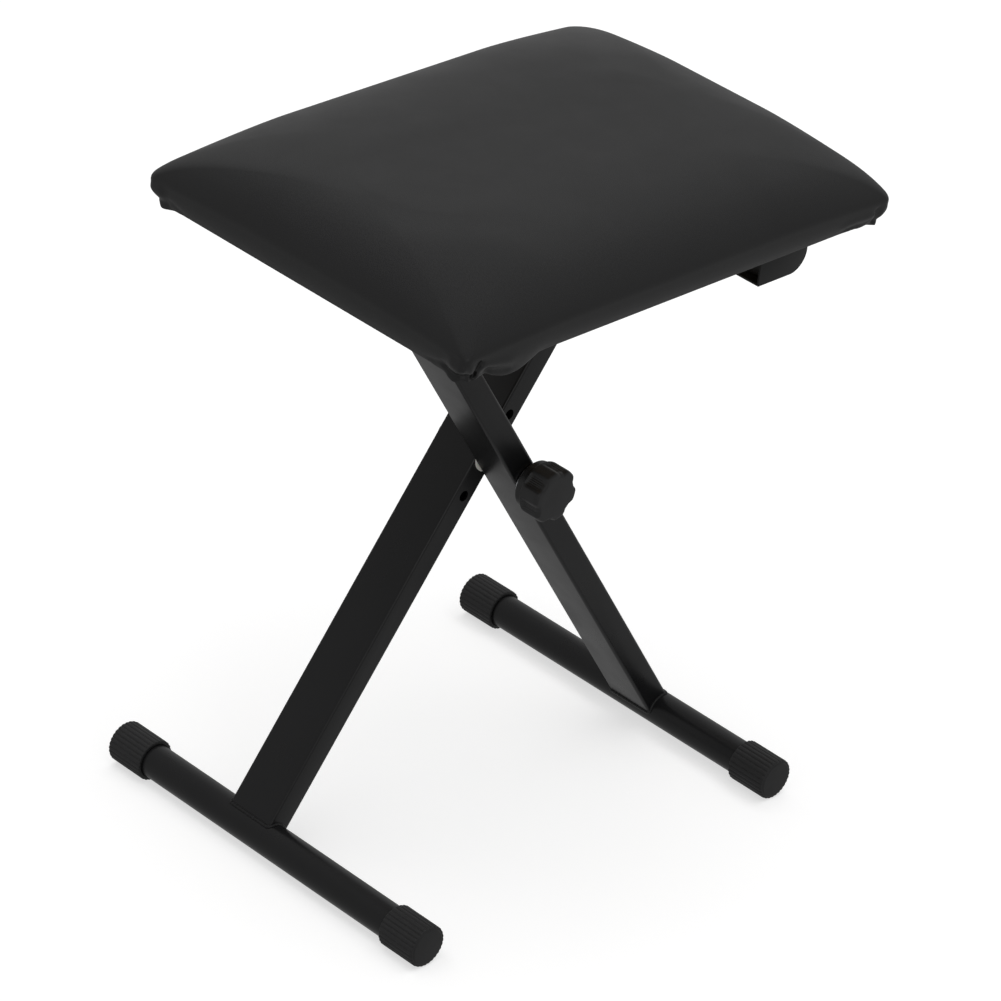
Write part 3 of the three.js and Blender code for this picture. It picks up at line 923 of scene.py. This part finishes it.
def under_rings():
    """Rings under the pad: the turned-in edge, the hem, and the pocket round the board."""
    under = BOARD_LOW.z
    wall_x = HALF_LENGTH - (BOARD_HIGH.x - SEAT_MIDDLE.x) - TOUCH
    wall_y = HALF_DEPTH - (BOARD_HIGH.y - SEAT_MIDDLE.y) - TOUCH
    roof = BOARD_HIGH.z + TOUCH
    edge = SEAT_LOW.z
    # Each row: in from the long sides, in from the short sides, height.
    below = [
        (6.6 * MM, 5.2 * MM, edge - 0.9 * MM),
        (9.5 * MM, 8.0 * MM, edge - 0.7 * MM),
        (14 * MM, 12.6 * MM, edge + 0.1 * MM),
        (HEM, HEM, edge + 0.5 * MM),
        (HEM + 0.6 * MM, HEM + 0.6 * MM, under - 0.15 * MM),
        (wall_y + 3 * MM, wall_x + 3 * MM, under - 0.12 * MM),
        (wall_y, wall_x, under),
        (wall_y, wall_x, roof),
        (HALF_DEPTH - 3 * MM, HALF_DEPTH - 3 * MM, roof),
    ]
    return [seat_ring(in_y, in_x, lambda x, y, z=z: z, UNDER_CORNER) for in_y, in_x, z in below]


def seat_pad():
    """Foam under stretched vinyl, wrapped round the board and gathered in pleats under its corners."""
    outside = [pad_ring(*row) for row in finer_section()] + flat_rings()
    inside = under_rings()
    rings = inside[::-1] + outside
    gather(rings, len(inside))
    mesh = mesh_of("seat_cover", *bridge(rings, cap_start=True, cap_end=True))
    pad = new_piece("seat_cover", mesh, "black_vinyl", SEAT_BODY, ["seat_pad"])
    return pad


def gather(rings, edge_ring):
    """Pulls the cover's lower edge into pleats round each corner, and lets surplus sag beside them."""
    for fade, ring in zip(UNDER_FADE, rings[edge_ring - 1 :: -1]):
        for point in ring:
            pleat(point, fade)
    for ring in rings[edge_ring:]:
        for point in ring:
            height = point.z - SEAT_LOW.z
            fade = max(0.0, 1 - height / GATHER_HEIGHT) ** 1.3
            if fade > 0:
                crease(point, max(height, 0.0))
                pleat(point, fade)


def from_corner(point):
    """How far in from the nearest short side and long side a point is."""
    return HALF_LENGTH - abs(point.x - SEAT_MIDDLE.x), HALF_DEPTH - abs(point.y - SEAT_MIDDLE.y)


def inward(point):
    """The level direction from a point's corner towards the seat's middle."""
    x, y = point.x - SEAT_MIDDLE.x, point.y - SEAT_MIDDLE.y
    return Vector((-math.copysign(1, x), -math.copysign(1, y), 0)).normalized()


def pleat(point, fade):
    """Folds the cover in and down near a corner, and hangs the slack beside it."""
    x, y = point.x - SEAT_MIDDLE.x, point.y - SEAT_MIDDLE.y
    in_x, in_y = from_corner(point)
    near = max(0.0, 1 - math.hypot(in_x, in_y) / GATHER_REACH) ** 1.2
    phase = 0.9 * math.copysign(1, x) + 0.5 * math.copysign(1, y)
    fold = 0.5 + 0.5 * math.sin((in_x - in_y) / PLEAT_SPACING + phase)
    point += inward(point) * (fade * near * (1 - fold) * PLEAT_INWARD)
    point.z -= fade * near * (PLEAT_DROP + PLEAT_FOLD_DROP * fold)
    for place, width, depth in SAGS:
        if abs(y - place[1]) < SAG_REACH:
            swell = max(0.0, 1 - ((x - place[0]) / width) ** 2) ** 1.3
            point.z -= fade * swell * depth


def crease(point, height):
    """Presses the cover in along the creases near a corner."""
    in_x, in_y = from_corner(point)
    size = 1.0 if point.x < SEAT_MIDDLE.x and point.y < SEAT_MIDDLE.y else OTHER_CORNERS
    at = Vector(((in_x - in_y) / MM, height / MM))
    push = 0.0
    for start, end, width, depth in CREASES:
        a, b = Vector(start), Vector(end)
        share = min(max((at - a).dot(b - a) / (b - a).length_squared, 0), 1)
        away = (at - a.lerp(b, share)).length
        push += depth * math.exp(-((away / width) ** 2))
    point += inward(point) * (push * size * MM)


def staple_row(span):
    """Places along a side, evenly spaced from its start."""
    return [k * STAPLE_PITCH - span for k in range(int(2 * span / STAPLE_PITCH) + 1)]


def staples():
    """Wire staples that hold the vinyl's hem to the board."""
    long = STAPLE_LENGTH / 2
    in_x, in_y = HALF_LENGTH - STAPLE_INSET, HALF_DEPTH - STAPLE_INSET
    places = []
    for x in staple_row(HALF_LENGTH - STAPLE_CLEAR):
        places += [(x, side * in_y, long, STAPLE_WIRE) for side in (-1, 1)]
    for y in staple_row(HALF_DEPTH - STAPLE_CLEAR):
        places += [(side * in_x, y, STAPLE_WIRE, long) for side in (-1, 1)]
    points, faces = [], []
    for x, y, half_x, half_y in places:
        start = len(points)
        middle_point = Vector((SEAT_MIDDLE.x + x, SEAT_MIDDLE.y + y, SEAT_LOW.z + 0.1 * MM))
        for lift in (-STAPLE_WIRE, STAPLE_WIRE * 1.2):
            points += [middle_point + Vector((sx * half_x, sy * half_y, lift)) for sx, sy in BLOCK_CORNERS]
        faces += [tuple(start + i for i in face) for face in BLOCK_FACES]
    mesh = mesh_of("hem_staples", points, faces)
    return new_piece("hem_staples", mesh, "zinc_steel", SEAT_BODY, smooth_below=30)


# ---------------------------------------------------------------- room
ROOM_GREY = 0.36
# Strength of the floor's painted glow, which lightens the shadows on it
FLOOR_GLOW = 0.62
FLOOR_HALF = 30.0


def add_floor():
    """A pale floor that glows with painted light, which washes out the shadows cast on it. It doesn't show in
    reflections, where the room's grey does.
    """
    corners = [Vector((x * FLOOR_HALF, y * FLOOR_HALF, 0)) for x, y in BLOCK_CORNERS]
    mesh = mesh_of("floor", corners, [(0, 1, 2, 3)])
    floor = bpy.data.objects.new("floor", mesh)
    material = bpy.data.materials.new("floor")
    material.use_nodes = True
    shader = material.node_tree.nodes["Principled BSDF"]
    shader.inputs["Base Color"].default_value = (0.5, 0.5, 0.5, 1)
    shader.inputs["Roughness"].default_value = 0.9
    shader.inputs["Specular IOR Level"].default_value = 0.0
    # Painted glow: the floor shines by itself and is not lit from below
    shader.inputs["Emission Color"].default_value = (1, 1, 1, 1)
    shader.inputs["Emission Strength"].default_value = FLOOR_GLOW
    mesh.materials.append(material)
    floor.visible_diffuse = False
    floor.visible_glossy = False
    floor.visible_shadow = False
    bpy.context.scene.collection.objects.link(floor)


def add_light(name, place, aim, size, power, in_reflections):
    """A round soft light that the camera doesn't see."""
    data = bpy.data.lights.new(name, "AREA")
    data.shape = "DISK"
    data.size = size
    data.energy = power
    light = bpy.data.objects.new(name, data)
    light.location = place
    light.rotation_euler = (Vector(place) - Vector(aim)).to_track_quat("Z", "Y").to_euler()
    light.visible_glossy = in_reflections
    light.visible_camera = False
    bpy.context.scene.collection.objects.link(light)
    return light


def add_room():
    """The floor, an even grey room, and three soft lights."""
    add_floor()
    world = bpy.data.worlds.new("world")
    world.use_nodes = True
    background = world.node_tree.nodes["Background"]
    background.inputs["Color"].default_value = (1, 1, 1, 1)
    background.inputs["Strength"].default_value = ROOM_GREY
    bpy.context.scene.world = world
    add_light("overhead", (0.0, 0.0, 3.4), (0, 0, 0), 4.5, 100, False)
    add_light("edge_light", (-1.6, -2.6, 1.3), (0, 0, 0.3), 0.7, 4, True)
    backdrop = add_light("backdrop", (2.1, 1.9, 1.5), (0, 0, 0.5), 3.0, 2.5, True)
    backdrop.visible_diffuse = False
    bpy.context.scene.view_settings.view_transform = "Standard"
    bpy.context.scene.view_settings.look = "None"


# ---------------------------------------------------------------- build
add_camera()
add_room()
build_leg_frame("rear", "rear_leg", "left_foot_bar", "rear_leg_crossbar", REAR_BODY, SPARE_HOLES)
build_leg_frame("front", "front_leg", "right_foot_bar", "front_leg_crossbar", FRONT_BODY, ())
for end in ("front", "rear"):
    foot_cap(f"left_{end}_foot_cap", REAR_BODY)
    foot_cap(f"right_{end}_foot_cap", FRONT_BODY)
    crossbar_cap(f"crossbar_{end}_cap", FRONT_BODY)
build_knob()
washer("knob_washer", "knob_washer", "zinc_steel")
washer("friction_washer", REAR_BODY, "natural_nylon")
washer("rear_leg_sleeve", REAR_BODY, "zinc_steel")
washer("front_leg_sleeve", FRONT_BODY, "zinc_steel")
build_bolt()
seat_pad()
staples()
for node in frame["nodes"]:
    if "bracket_screw" in node:
        wood_screw(node, SEAT_BODY)
    elif node.endswith("_bracket"):
        refined(node, SEAT_BODY, "black_powder_coat", SHEET_EDGE)
    elif node.endswith("_bush"):
        refined(node, SEAT_BODY, "black_plastic", BUSH_EDGE)
refined("seat_board", SEAT_BODY, "plywood", BOARD_EDGE)
insert = frame["nodes"]["knob_insert"]
insert.data.materials.clear()
insert.data.materials.append(MATERIALS["zinc_steel"])
